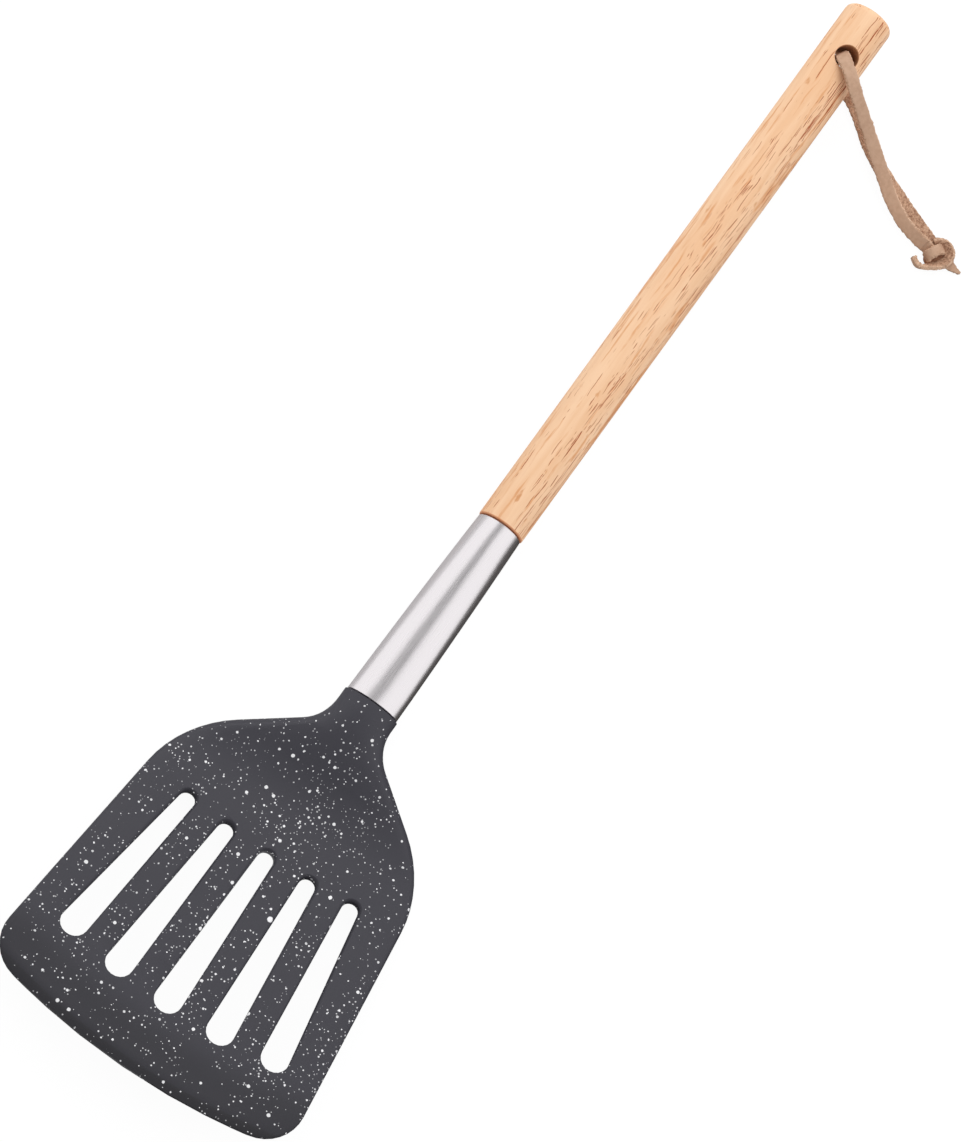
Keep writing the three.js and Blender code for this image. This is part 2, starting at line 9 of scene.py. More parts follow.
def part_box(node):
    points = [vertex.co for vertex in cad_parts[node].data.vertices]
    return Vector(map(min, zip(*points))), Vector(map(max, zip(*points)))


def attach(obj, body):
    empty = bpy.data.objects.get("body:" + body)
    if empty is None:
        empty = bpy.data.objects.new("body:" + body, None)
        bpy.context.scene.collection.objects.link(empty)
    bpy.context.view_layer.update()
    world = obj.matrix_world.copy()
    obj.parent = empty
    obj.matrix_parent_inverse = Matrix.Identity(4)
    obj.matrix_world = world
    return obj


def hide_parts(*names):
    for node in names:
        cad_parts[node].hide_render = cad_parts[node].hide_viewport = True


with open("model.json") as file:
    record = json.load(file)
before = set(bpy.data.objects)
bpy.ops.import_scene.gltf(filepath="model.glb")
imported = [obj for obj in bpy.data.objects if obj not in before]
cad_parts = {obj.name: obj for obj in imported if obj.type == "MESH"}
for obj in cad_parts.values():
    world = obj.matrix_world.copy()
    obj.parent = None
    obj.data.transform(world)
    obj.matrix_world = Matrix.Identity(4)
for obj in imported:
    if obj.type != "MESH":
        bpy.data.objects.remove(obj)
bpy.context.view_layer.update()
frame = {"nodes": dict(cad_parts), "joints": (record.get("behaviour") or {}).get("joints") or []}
nodes = frame["nodes"]
MM = 0.001

# Camera, as fitted to the photograph
PHOTO_HEIGHT = 1142
SENSOR = 36.0
CAMERA_TARGET = Vector((-11.835, -0.807, 8.0)) * MM
CAMERA_DISTANCE = 2.5
CAMERA_TILT = math.radians(15.658)  # from straight above, towards the blade
CAMERA_SIDE = math.radians(1.159)
CAMERA_ROLL = math.radians(54.037)  # of the grip's direction, from the picture's right
PIXELS_PER_METRE = 3464.7
CAMERA_REACH = 20.0

# Thong, measured in millimetres from the worktop below the hang hole: place and lean in degrees
STRIP_WIDTH = 4.2
STRIP_THICKNESS = 1.4
STRIP_EASE = 0.3  # round the cut edges
STRIP_STEPS = 12  # from point to point
ACROSS_STEPS = 8
EDGE_STEPS = 4
EDGE_FULLNESS = 0.6  # 1 is half round, and less is fuller
FRAY_SEED = 4  # gives the same fray each time
GRAIN_FRAY = 0.04
CUT_FRAY = 0.24
COARSE_FIBRES = 1.3  # waves per millimetre
FINE_FIBRES = 3.7
FINE_SHARE = 0.7
THONG_HEADING = math.radians(240.0)
FRONT_STRAND = [
    (0.3, 0.9, 11.0, 0), (0.3, 0.8, 13.6, 0), (0.0, 0.3, 16.5, 0), (-1.4, -1.2, 18.9, -6),
    (-3.3, -3.7, 19.6, -10), (-5.4, -6.7, 19.1, -11), (-7.7, -10.2, 17.1, -9), (-10.6, -15.7, 12.9, -4),
    (-13.4, -21.2, 8.8, 0), (-16.2, -26.2, 5.9, 6), (-19.5, -31.4, 4.1, 12), (-23.0, -36.6, 3.3, 20),
    (-26.0, -42.5, 3.0, 28), (-27.6, -48.3, 2.9, 36), (-28.2, -52.15, 3.0, 40),
]
BACK_STRAND = [
    (0.3, 0.9, 10.7, 0), (0.2, 0.9, 6.6, 0), (0.1, 0.8, 3.4, 0), (-0.3, -0.4, 1.4, 0),
    (-1.2, -3.0, 0.85, 0), (-3.0, -7.6, 0.8, 0), (-5.3, -12.0, 0.8, 0), (-8.4, -16.3, 0.8, 0),
    (-12.0, -21.0, 0.8, 0), (-15.0, -26.0, 0.8, 0), (-17.5, -31.3, 0.8, 0), (-20.0, -37.6, 0.8, 0),
    (-22.2, -43.1, 0.85, 0), (-23.8, -47.6, 0.95, 0), (-25.7, -52.8, 1.0, 0),
]
KNOT_BAND_WIDTH = 3.3
KNOT_BAND = [
    (-30.7, -54.6, 1.6, 0), (-30.4, -54.7, 3.3, 0), (-29.5, -55.1, 4.3, 0), (-28.4, -55.6, 4.6, 0),
    (-27.2, -56.2, 4.1, 0), (-26.4, -56.8, 3.0, 0), (-26.2, -57.3, 1.8, 0),
]
KNOT_CUP_WIDTH = 3.6
KNOT_CUP_TAPER = (1.0, 0.7)  # share of the width at the start and at the end
KNOT_CUP = [
    (-26.4, -54.3, 2.5, -50), (-25.0, -55.4, 2.6, -58), (-24.6, -57.6, 2.5, -62), (-25.7, -59.5, 2.4, -62),
    (-27.9, -60.1, 2.3, -62), (-30.2, -59.1, 2.3, -58), (-32.1, -57.2, 2.3, -44), (-33.8, -55.5, 2.2, -20),
    (-34.2, -53.7, 2.2, 0), (-33.6, -52.2, 2.2, 0), (-33.0, -51.3, 2.2, 0),
]
KNOT_TAIL = [
    (-27.9, -58.9, 1.9, 0), (-28.3, -61.2, 1.5, 0), (-28.5, -63.2, 1.2, 0), (-28.4, -65.3, 1.0, 0),
]
KNOT_TAIL_TAPER = (1.1, 0.15)
KNOT_HEART = ((-28.7, -56.6, 1.3), (3.9, 2.7, 1.1))  # middle and half sizes of the folds inside
FRONT_STUB = [
    (-28.1, -51.7, 3.0, 39), (-28.3, -52.8, 3.0, 40), (-28.6, -54.2, 2.7, 36), (-28.9, -56.0, 2.0, 30),
]
BACK_STUB = [
    (-25.5, -52.3, 1.0, 0), (-26.0, -53.5, 1.1, 0), (-26.9, -54.9, 1.4, 0), (-28.0, -56.2, 1.8, 0),
]
STUB_THICKNESS = 1.3

# The thong swings about the hang hole, and its points are measured from the worktop below it
hole = Vector(frame["joints"][0]["pos_m"])
below_hole = Vector((hole.x, hole.y, 0.0))
HOLE_RADIUS = 3.6 * MM
HOLE_TURN = math.radians(11.5)  # round the grip
ferrule_low, ferrule_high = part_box("ferrule")


# Camera

def photo_camera():
    back = Vector((-math.sin(CAMERA_TILT), -math.sin(CAMERA_SIDE), 0.0))
    back.z = math.sqrt(1.0 - back.length_squared)
    along = (Vector((1, 0, 0)) - back * back.x).normalized()
    right = math.cos(CAMERA_ROLL) * along - math.sin(CAMERA_ROLL) * back.cross(along)
    up = back.cross(right)
    data = bpy.data.cameras.new("photo_camera")
    data.sensor_width = SENSOR
    data.lens = SENSOR * PIXELS_PER_METRE * CAMERA_DISTANCE / PHOTO_HEIGHT
    data.clip_end = CAMERA_REACH
    camera = bpy.data.objects.new("photo_camera", data)
    axes = Matrix((right, up, back)).transposed().to_4x4()
    camera.matrix_world = Matrix.Translation(CAMERA_TARGET + back * CAMERA_DISTANCE) @ axes
    bpy.context.scene.collection.objects.link(camera)
    bpy.context.scene.camera = camera


photo_camera()


# Material helpers

def srgb(red, green, blue):
    def linear(level):
        share = level / 255.0
        return share / 12.92 if share <= 0.04045 else ((share + 0.055) / 1.055) ** 2.4

    return (linear(red), linear(green), linear(blue), 1.0)


class Shader:
    """A new material with a Principled shader, and short ways to add and join nodes."""

    def __init__(self, name):
        self.material = bpy.data.materials.new(name)
        self.material.use_nodes = True
        self.tree = self.material.node_tree
        self.principled = self.tree.nodes["Principled BSDF"]
        self.place = self.add("ShaderNodeTexCoord").outputs["Object"]

    def add(self, kind, **values):
        node = self.tree.nodes.new(kind)
        for name, value in values.items():
            setattr(node, name, value)
        return node

    def link(self, output, socket):
        self.tree.links.new(output, socket)

    def put(self, socket, value):
        if isinstance(value, bpy.types.NodeSocket):
            self.link(value, socket)
        else:
            socket.default_value = value

    def math(self, operation, first, second=0.0, third=0.0):
        node = self.add("ShaderNodeMath", operation=operation)
        for socket, value in zip(node.inputs, (first, second, third)):
            self.put(socket, value)
        return node.outputs[0]

    def stretched(self, scale, vector=None):
        node = self.add("ShaderNodeMapping")
        self.link(vector or self.place, node.inputs["Vector"])
        node.inputs["Scale"].default_value = scale
        return node.outputs[0]

    def noise(self, vector, scale, detail=2.0, roughness=0.5):
        node = self.add("ShaderNodeTexNoise")
        self.link(vector, node.inputs["Vector"])
        node.inputs["Scale"].default_value = scale
        node.inputs["Detail"].default_value = detail
        node.inputs["Roughness"].default_value = roughness
        return node.outputs["Fac"]

    def shaken(self, scale, reach):
        """Places shifted a little by noise, for ragged outlines."""
        wobble = self.add("ShaderNodeTexNoise")
        wobble.inputs["Scale"].default_value = scale
        self.link(self.place, wobble.inputs["Vector"])
        shift = self.add("ShaderNodeVectorMath", operation="MULTIPLY_ADD")
        self.link(wobble.outputs["Color"], shift.inputs[0])
        shift.inputs[1].default_value = (reach,) * 3
        self.link(self.place, shift.inputs[2])
        return shift.outputs[0]

    def distance(self, middle):
        node = self.add("ShaderNodeVectorMath", operation="DISTANCE")
        self.link(self.place, node.inputs[0])
        node.inputs[1].default_value = middle
        return node.outputs["Value"]

    def split(self, colour):
        node = self.add("ShaderNodeSeparateColor")
        self.link(colour, node.inputs[0])
        return node.outputs

    def cells(self, vector, scale):
        node = self.add("ShaderNodeTexVoronoi")
        self.link(vector, node.inputs["Vector"])
        node.inputs["Scale"].default_value = scale
        return node.outputs["Distance"], node.outputs["Color"]

    def ease(self, value, low, high, low_out=0.0, high_out=1.0):
        node = self.add("ShaderNodeMapRange", interpolation_type="SMOOTHSTEP")
        names = ("Value", "From Min", "From Max", "To Min", "To Max")
        for name, given in zip(names, (value, low, high, low_out, high_out)):
            self.put(node.inputs[name], given)
        return node.outputs["Result"]

    def mix(self, share, first, second):
        node = self.add("ShaderNodeMix", data_type="RGBA")
        self.put(node.inputs["Factor"], share)
        self.put(node.inputs[6], first)
        self.put(node.inputs[7], second)
        return node.outputs[2]

    def bump(self, height, depth, strength=1.0):
        node = self.add("ShaderNodeBump")
        node.inputs["Strength"].default_value = strength
        node.inputs["Distance"].default_value = depth
        self.link(height, node.inputs["Height"])
        self.link(node.outputs["Normal"], self.principled.inputs["Normal"])

    def surface(self, **values):
        for name, value in values.items():
            self.put(self.principled.inputs[name.replace("_", " ")], value)


# Silicone: dark grey with pale chips of four sizes in crowds, fewer on the soft front and the neck;
# painted shade on the front land and the front bevel, painted light on the neck

FRONT_CENTRE = Vector((-0.55, 4.39, -13.3)) * MM  # of the front edge's curve
FRONT_RADIUS = 196.0 * MM
FRONT_LAND = 20.0 * MM  # ahead of the core, where chips are fewer and painted shade darkens the silicone
BEVEL = 2.6 * MM
BEVEL_BLUR = 0.15 * MM
NECK_START = 22.0 * MM  # ahead of the ferrule
NECK_END = 8.0 * MM
BODY_DARK = srgb(53, 52, 60)
BODY_LIGHT = srgb(59, 58, 66)
# painted light: a lighter copy of the body for the neck
BODY_NECK_LIT = srgb(60, 59, 67)
# painted shade on the front land, ahead of the core
BODY_FRONT_SHADE = srgb(45, 44, 51)
# painted shade on the front bevel, which faces away from the light
BODY_BEVEL_SHADE = srgb(42, 41, 46)
BODY_CLOUDS = 45.0  # waves per metre
BODY_SKIN = 3200.0
SKIN_DEPTH = 0.02 * MM
CHIP_PALE = srgb(250, 250, 252)
CHIP_EDGES = 2600.0
CHIP_RAGGED = 0.3 * MM
CHIP_CROWDS = 100.0
BIG_CHIPS = (11.0, 1.0, 0.9)  # spacing and largest radius in millimetres, paleness of the dimmest
MIDDLE_CHIPS = (4.2, 0.62, 0.85)
SMALL_CHIPS = (2.1, 0.42, 0.65)
TINY_CHIPS = (1.0, 0.27, 0.35)
BIG_SHARE = 0.6  # of the places for a chip that hold one
MIDDLE_SHARE = 0.62
SPARSE_SHARE = 0.14  # between crowds
CROWD_SHARE = 0.76
TINY_EXTRA = 0.16  # of the tiny chips, over the share of the small ones
FRONT_LOSS = 0.35  # share of the chips that is lacking there
NECK_LOSS = 0.5


def speckles(shader, vector, kind, share):
    """Chips of one kind; the dimmest of them take up only a part of the pale colour."""
    cell, radius, dim = kind
    distance, colour = shader.cells(vector, 1.0 / (cell * MM))
    split = shader.split(colour)
    size = shader.ease(split[0], 0.0, 1.0, radius / cell * 0.4, radius / cell)
    chip = shader.ease(shader.math("DIVIDE", distance, size), 0.85, 1.05, 1.0, 0.0)
    kept = shader.math("LESS_THAN", split[1], share)
    pale = shader.ease(split[2], 0.0, 1.0, dim, 1.0)
    return shader.math("MULTIPLY", shader.math("MULTIPLY", chip, kept), pale)


def silicone():
    shader = Shader("speckled_silicone")
    ragged = shader.shaken(CHIP_EDGES, CHIP_RAGGED)
    patches = shader.noise(shader.place, CHIP_CROWDS)
    reach = shader.distance(FRONT_CENTRE)
    front_sparse_and_shaded = shader.ease(reach, FRONT_RADIUS - FRONT_LAND, FRONT_RADIUS - FRONT_LAND / 2)
    along = shader.split(shader.place)[0]
    neck = shader.ease(along, ferrule_low.x - NECK_START, ferrule_low.x - NECK_END)
    front_share = shader.math("MULTIPLY_ADD", front_sparse_and_shaded, -FRONT_LOSS, 1.0)
    both_share = shader.math("MULTIPLY_ADD", neck, -NECK_LOSS, front_share)
    crowds = shader.ease(patches, 0.34, 0.66, SPARSE_SHARE, CROWD_SHARE)
    middle_share = shader.math("MULTIPLY", front_share, MIDDLE_SHARE)
    small_share = shader.math("MULTIPLY", crowds, both_share)
    tiny_share = shader.math("MULTIPLY_ADD", both_share, TINY_EXTRA, small_share)
    chips = speckles(shader, ragged, BIG_CHIPS, BIG_SHARE)
    for kind, share in (
        (MIDDLE_CHIPS, middle_share), (SMALL_CHIPS, small_share), (TINY_CHIPS, tiny_share),
    ):
        chips = shader.math("MAXIMUM", chips, speckles(shader, ragged, kind, share))
    cloud = shader.noise(shader.place, BODY_CLOUDS, 3.0)
    body = shader.mix(cloud, BODY_DARK, BODY_LIGHT)
    # painted light on the neck
    body = shader.mix(neck, body, BODY_NECK_LIT)
    # painted shade darkens the front land
    body = shader.mix(front_sparse_and_shaded, body, BODY_FRONT_SHADE)
    # painted shade along the front bevel
    bevel_shade = shader.ease(reach, FRONT_RADIUS - BEVEL - BEVEL_BLUR, FRONT_RADIUS - BEVEL + BEVEL_BLUR)
    body = shader.mix(bevel_shade, body, BODY_BEVEL_SHADE)
    shader.surface(
        Base_Color=shader.mix(chips, body, CHIP_PALE),
        Roughness=shader.ease(cloud, 0.3, 0.7, 0.48, 0.56),
        Specular_IOR_Level=0.4,
    )
    shader.bump(shader.noise(shader.place, BODY_SKIN, 3.0), SKIN_DEPTH, 0.5)
    return shader.material


# Steel: satin, finely brushed along the tube

STEEL_DARK = srgb(211, 207, 209)
STEEL_LIGHT = srgb(221, 217, 219)
BRUSH_WAVES = (30.0, 2600.0, 2600.0)  # per metre along and across
BRUSH_DEPTH = 0.004 * MM


def steel():
    shader = Shader("satin_steel")
    brushed = shader.noise(shader.stretched(BRUSH_WAVES), 1.0, 3.0)
    shader.surface(
        Base_Color=shader.mix(brushed, STEEL_DARK, STEEL_LIGHT),
        Metallic=1.0,
        Roughness=shader.ease(brushed, 0.3, 0.7, 0.26, 0.32),
    )
    shader.bump(brushed, BRUSH_DEPTH, 0.4)
    return shader.material


# Core: plain moulded plastic, hidden inside the silicone

CORE_DARK = srgb(42, 42, 46)
CORE_LIGHT = srgb(48, 48, 52)
CORE_MOTTLE = 400.0  # waves per metre


def core_plastic():
    shader = Shader("core_plastic")
    mottle = shader.noise(shader.place, CORE_MOTTLE)
    shader.surface(
        Base_Color=shader.mix(mottle, CORE_DARK, CORE_LIGHT),
        Roughness=0.5,
    )
    return shader.material


# Wood: pale, with long grain, warm streaks and thin open pores that run along the grip, and painted shade
# beside the ferrule, in the hang hole and on the rounded sides

WOOD_DARK = srgb(242, 194, 152)
WOOD_LIGHT = srgb(251, 210, 172)
WOOD_STREAK = srgb(222, 150, 94)
WOOD_BLOTCH = srgb(206, 128, 60)
WOOD_PORE = srgb(164, 68, 8)
WOOD_RIM_SHADE = srgb(220, 132, 82)  # painted shade beside the ferrule, at the joint
# the raw bore's own darker colour together with painted shade inside the hang hole
WOOD_BORE_AND_SHADE = srgb(186, 128, 88)
GRAIN_WAVES = (16.0, 260.0, 260.0)  # per metre along and across
GRAIN_DEPTH = 0.015 * MM
STREAK_WAVES = (45.0, 700.0, 700.0)
BLOTCH_WAVES = (150.0, 420.0, 420.0)
BAND_WAVES = (9.0, 170.0, 170.0)
WOBBLE_WAVES = 140.0
WOBBLE = 1.1 * MM
PORES = ((34.0, 0.5), (22.0, 0.42), (12.0, 0.46))  # spacing along and across in millimetres
LONG_PORES = (90.0, 0.7)
PORE_SIDE = (-7.0 * MM, 3.0 * MM)  # across the grip, from where pores are most to where fewest
LONG_PORE_SIDE = (-6.0 * MM, -0.5 * MM)
SIDE_STREAKS_AND_SHADE = (4.5 * MM, 7.6 * MM)  # out from the grip's middle, from fewer streaks to more, partly as painted shade on the rounded sides
RIM_START = 0.3 * MM  # from the ferrule
RIM_END = 0.6 * MM
BORE_BLUR = 0.3 * MM


def pores(shader, vector, length, width, share):
    """Dashes along the grip: one in each of the cells that are open."""
    cell = shader.stretched((1.0 / (length * MM), 1.0 / (width * MM), 1.0 / (width * MM)), vector)
    distance, colour = shader.cells(cell, 1.0)
    split = shader.split(colour)
    size = shader.ease(split[2], 0.0, 1.0, 0.12, 0.3)
    dash = shader.ease(shader.math("DIVIDE", distance, size), 0.8, 1.2, 1.0, 0.0)
    depth = shader.ease(split[0], 0.0, 1.0, 0.4, 1.0)
    kept = shader.math("LESS_THAN", split[1], share)
    return shader.math("MULTIPLY", shader.math("MULTIPLY", dash, depth), kept)


def bore(shader):
    """Inside the hang hole, told by the distance from its axis."""
    across = (0.0, -math.sin(HOLE_TURN), math.cos(HOLE_TURN))
    place = shader.place
    for operation, vector in (("SUBTRACT", hole), ("CROSS_PRODUCT", across), ("LENGTH", None)):
        node = shader.add("ShaderNodeVectorMath", operation=operation)
        shader.link(place, node.inputs[0])
        if vector is not None:
            node.inputs[1].default_value = vector
        place = node.outputs["Value" if operation == "LENGTH" else "Vector"]
    return shader.ease(place, HOLE_RADIUS, HOLE_RADIUS + BORE_BLUR, 1.0, 0.0)


def wood():
    shader = Shader("oiled_wood")
    grain = shader.noise(shader.stretched(GRAIN_WAVES), 1.0, 4.0, 0.6)
    body = shader.mix(shader.ease(grain, 0.32, 0.68), WOOD_DARK, WOOD_LIGHT)
    wavy = shader.shaken(WOBBLE_WAVES, WOBBLE)
    along, sideways = shader.split(shader.place)[:2]
    aside = shader.math("SUBTRACT", sideways, hole.y)
    # more streaks towards the sides: real streaks, and painted shade on the rounded grip
    edges = shader.ease(shader.math("ABSOLUTE", aside), *SIDE_STREAKS_AND_SHADE, 0.0, 0.06)
    streak = shader.noise(shader.stretched(STREAK_WAVES, wavy), 1.0, 3.0)
    streak = shader.ease(shader.math("ADD", streak, edges), 0.55, 0.72, 0.0, 0.75)
    body = shader.mix(streak, body, WOOD_STREAK)
    blotch = shader.noise(shader.stretched(BLOTCH_WAVES, wavy), 1.0, 3.0)
    body = shader.mix(shader.ease(blotch, 0.66, 0.8, 0.0, 0.7), body, WOOD_BLOTCH)
    bands = shader.noise(shader.stretched(BAND_WAVES), 1.0, 2.0)
    rightward = shader.ease(aside, *PORE_SIDE, 0.14, -0.03)
    open_share = shader.ease(shader.math("ADD", bands, rightward), 0.38, 0.64, 0.08, 0.8)
    right_share = shader.ease(aside, *LONG_PORE_SIDE, 0.9, 0.0)
    dashes = pores(shader, wavy, *LONG_PORES, right_share)
    for length, width in PORES:
        dashes = shader.math("MAXIMUM", pores(shader, wavy, length, width, open_share), dashes)
    body = shader.mix(dashes, body, WOOD_PORE)
    # painted shade: a darker orange ring on the wood at the joint with the ferrule
    rim_shade = shader.ease(along, ferrule_high.x + RIM_START, ferrule_high.x + RIM_END, 0.7, 0.0)
    body = shader.mix(rim_shade, body, WOOD_RIM_SHADE)
    inside = bore(shader)
    sheen = shader.ease(grain, 0.3, 0.7, 0.52, 0.62)
    shader.surface(
        # the bore's own darker colour and painted shade inside the hang hole
        Base_Color=shader.mix(inside, body, WOOD_BORE_AND_SHADE),
        Roughness=shader.math("MAXIMUM", inside, sheen),
        Specular_IOR_Level=0.28,
    )
    shader.bump(grain, GRAIN_DEPTH, 0.6)
    return shader.material


# Leather: a smooth grain side, and a hairy flesh side and cut edges, and a darker copy as painted shade
# for the folds inside the knot

BROAD_MOTTLE = 160.0  # waves per metre
BROAD_SHARE = 0.3


def leather(name, light, dark, fibres, depth, roughness):
    """Leather with fibres in waves per metre, and their depth in millimetres."""
    shader = Shader(name)
    mottle = shader.noise(shader.place, fibres, 5.0, 0.65)
    broad = shader.noise(shader.place, BROAD_MOTTLE, 2.0)
    fine = shader.math("MULTIPLY", mottle, 1.0 - BROAD_SHARE)
    tone = shader.math("MULTIPLY_ADD", broad, BROAD_SHARE, fine)
    shader.surface(
        Base_Color=shader.mix(shader.ease(tone, 0.34, 0.62), dark, light),
        Roughness=roughness,
        Specular_IOR_Level=0.25,
    )
    shader.bump(mottle, depth * MM, 0.8)
    return shader.material


leathers = [
    leather(
        "leather_grain", light=srgb(199, 163, 137), dark=srgb(188, 151, 125),
        fibres=700.0, depth=0.008, roughness=0.55,
    ),
    leather(
        "leather_edge", light=srgb(224, 188, 160), dark=srgb(168, 127, 100),
        fibres=1700.0, depth=0.2, roughness=0.85,
    ),
    leather(
        "leather_flesh", light=srgb(212, 172, 143), dark=srgb(142, 100, 77),
        fibres=1500.0, depth=0.3, roughness=0.9,
    ),
    # painted shade: darker leather for the folds deep inside the knot
    leather(
        "leather_fold_shade", light=srgb(160, 114, 88), dark=srgb(124, 82, 60),
        fibres=1500.0, depth=0.25, roughness=0.9,
    ),
]
GRAIN, EDGE, FLESH, FOLD_SHADE = range(4)


# Thong: strips swept along smooth lines through their points

def smooth_points(route, steps):
    """Points with a lean along a Catmull-Rom line through a route."""
    first = [2 * a - b for a, b in zip(route[0], route[1])]
    last = [2 * a - b for a, b in zip(route[-1], route[-2])]
    whole = [first, *route, last]
    line = []
    for span in range(len(route) - 1):
        corners = whole[span:span + 4]
        for step in range(steps + (span == len(route) - 2)):
            t = step / steps
            weights = (
                (-t + 2 * t**2 - t**3) / 2,
                (2 - 5 * t**2 + 3 * t**3) / 2,
                (t + 4 * t**2 - 3 * t**3) / 2,
                (t**3 - t**2) / 2,
            )
            line.append([sum(w * c[axis] for w, c in zip(weights, corners)) for axis in range(4)])
    return line


def strip_section(width, thickness, grain_up):
    """Points round a strip, across and up from its middle, each with the surface that follows it."""
    side, face = width / 2 - STRIP_EASE, thickness / 2
    upper, lower = (GRAIN, FLESH) if grain_up else (FLESH, GRAIN)
    section = []
    for sign, kind in ((1, upper), (-1, lower)):
        for step in range(ACROSS_STEPS):
            share = 1 - 2 * step / ACROSS_STEPS
            section.append((sign * share * side, sign * face, kind))
        for step in range(EDGE_STEPS):
            turn = math.pi * step / EDGE_STEPS
            lift = math.copysign(abs(math.cos(turn)) ** EDGE_FULLNESS, math.cos(turn))
            section.append((sign * (-side - STRIP_EASE * math.sin(turn)), sign * lift * face, EDGE))
    return section


def add_strip(mesh, route, crosswise, width, grain_up=True, widths=None, thickness=STRIP_THICKNESS):
    """Adds a strip to a bmesh and returns the line that it follows."""
    line = smooth_points(route, STRIP_STEPS)
    middles = [Vector(point[:3]) for point in line]
    section = strip_section(width, thickness, grain_up)
    rings = []
    for index, point in enumerate(line):
        ahead = middles[min(index + 1, len(line) - 1)]
        behind = middles[max(index - 1, 0)]
        along = (ahead - behind).normalized()
        across = (crosswise - along * crosswise.dot(along)).normalized()
        across = Quaternion(along, math.radians(point[3])) @ across
        above = along.cross(across)
        share = index / (len(line) - 1)
        narrow = 1.0 if widths is None else widths[0] + (widths[1] - widths[0]) * share
        ring = []
        for right, up, kind in section:
            place = middles[index] + across * (right * narrow) + above * up
            ragged = GRAIN_FRAY if kind == GRAIN else CUT_FRAY
            coarse = noise.noise_vector(place * COARSE_FIBRES)
            fine = noise.noise_vector(place * FINE_FIBRES) * FINE_SHARE
            place += (coarse + fine) * ragged
            place.z = max(place.z, 0.0)
            ring.append(mesh.verts.new(place * MM))
        rings.append(ring)
    count = len(section)
    for ring, following in zip(rings, rings[1:]):
        for step in range(count):
            after = (step + 1) % count
            face = mesh.faces.new((ring[step], ring[after], following[after], following[step]))
            face.material_index = section[step][2]
            face.smooth = True
    for ring in (rings[0], list(reversed(rings[-1]))):
        mesh.faces.new(list(reversed(ring))).material_index = EDGE
    return middles


def thong_piece(name, mesh):
    bmesh.ops.recalc_face_normals(mesh, faces=mesh.faces)
    bmesh.ops.translate(mesh, verts=mesh.verts, vec=below_hole)
    data = bpy.data.meshes.new(name)
    mesh.to_mesh(data)
    mesh.free()
    for material in leathers:
        data.materials.append(material)
    piece = bpy.data.objects.new(name, data)
    bpy.context.scene.collection.objects.link(piece)
    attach(piece, "thong")
    return piece


thong_along = Vector((math.cos(THONG_HEADING), math.sin(THONG_HEADING), 0.0))
thong_across = Vector((-thong_along.y, thong_along.x, 0.0))
upright = Vector((0.0, 0.0, 1.0))


def strand(name, route, grain_up):
    mesh = bmesh.new()
    middles = add_strip(mesh, route, thong_across, STRIP_WIDTH, grain_up)
    path = [point * MM + below_hole for point in middles]
    length = sum((after - before).length for before, after in zip(path, path[1:]))
    return thong_piece(name, mesh), path, length


def leather_knot():
    mesh = bmesh.new()
    place, halves = KNOT_HEART
    heart = bmesh.ops.create_icosphere(mesh, subdivisions=4, radius=1.0)
    turned = Matrix.Translation(place) @ Matrix.Rotation(THONG_HEADING + math.pi / 2, 4, "Z")
    shape = Matrix.Scale(MM, 4) @ turned @ Matrix.Diagonal((*halves, 1.0))
    bmesh.ops.transform(mesh, verts=heart["verts"], matrix=shape)
    for face in mesh.faces:
        # the folds inside the knot take the painted shade leather
        face.material_index = FOLD_SHADE
        face.smooth = True
    add_strip(mesh, FRONT_STUB, thong_across, STRIP_WIDTH, thickness=STUB_THICKNESS)
    add_strip(mesh, BACK_STUB, thong_across, STRIP_WIDTH, grain_up=False, thickness=STUB_THICKNESS)
    add_strip(mesh, KNOT_BAND, thong_along, KNOT_BAND_WIDTH, grain_up=False)
    add_strip(mesh, KNOT_CUP, upright, KNOT_CUP_WIDTH, grain_up=False, widths=KNOT_CUP_TAPER)
    add_strip(mesh, KNOT_TAIL, thong_across, STRIP_WIDTH, widths=KNOT_TAIL_TAPER)
    return thong_piece("leather_knot", mesh)


noise.seed_set(FRAY_SEED)
knot = leather_knot()
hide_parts("thong_knot")
grip_low, grip_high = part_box("grip")
for name, route, grain_up, mouth in (
    ("front_strand", FRONT_STRAND, True, grip_high.z),
    ("back_strand", BACK_STRAND, False, grip_low.z),
):
    piece, path, length = strand("leather_" + name, route, grain_up)
    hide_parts("thong_" + name)


# CAD nodes: their own shape, shaded smooth between sharp edges

SHARP_ANGLE = math.radians(38.0)
WELD_DISTANCE = 0.002 * MM


